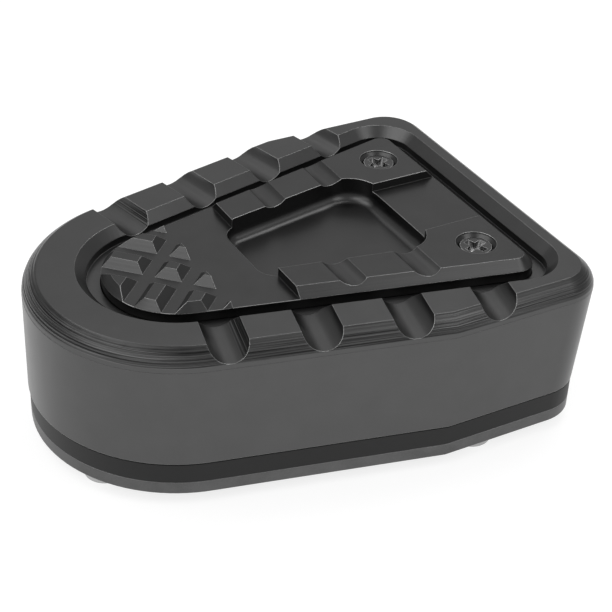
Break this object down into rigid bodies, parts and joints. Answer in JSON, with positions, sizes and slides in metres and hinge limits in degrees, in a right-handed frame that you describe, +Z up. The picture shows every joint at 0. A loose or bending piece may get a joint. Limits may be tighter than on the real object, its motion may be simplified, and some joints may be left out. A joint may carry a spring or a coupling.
{
  "type": "foot lever extension pad",
  "caption": "Wedge-shaped clamp-on foot lever extension pad with a ridged tread insert, nose studs, scalloped rim, spacer and screwed clamp plate.",
  "frame": {"origin": "centre of the pad in plan, at the level of the four clamp screw heads it stands on", "axes": "+X to the straight rear end, the round nose points to -X, +Z up out of the tread face"},
  "size_m": [0.072, 0.0546, 0.0244],
  "materials": {
    "body_anodised": "dark grey anodised, machined, with cutter marks on the chamfers",
    "insert_anodised": "dark grey anodised, machined",
    "dark_screw_steel": "blackened steel with bright edges in the cross recess",
    "spacer_black": "black, faintly glossy",
    "plate_anodised": "dark grey anodised with a slightly rough cut edge",
    "bright_screw_steel": "plain zinc-grey steel"
  },
  "bodies": {
    "root": {"pad_body": "body_anodised", "tread_insert": "insert_anodised", "insert_screw_left": "dark_screw_steel", "insert_screw_right": "dark_screw_steel", "spacer": "spacer_black", "clamp_plate": "plate_anodised", "clamp_screw_front_left": "bright_screw_steel", "clamp_screw_front_right": "bright_screw_steel", "clamp_screw_rear_left": "bright_screw_steel", "clamp_screw_rear_right": "bright_screw_steel"}
  },
  "joints": []
}
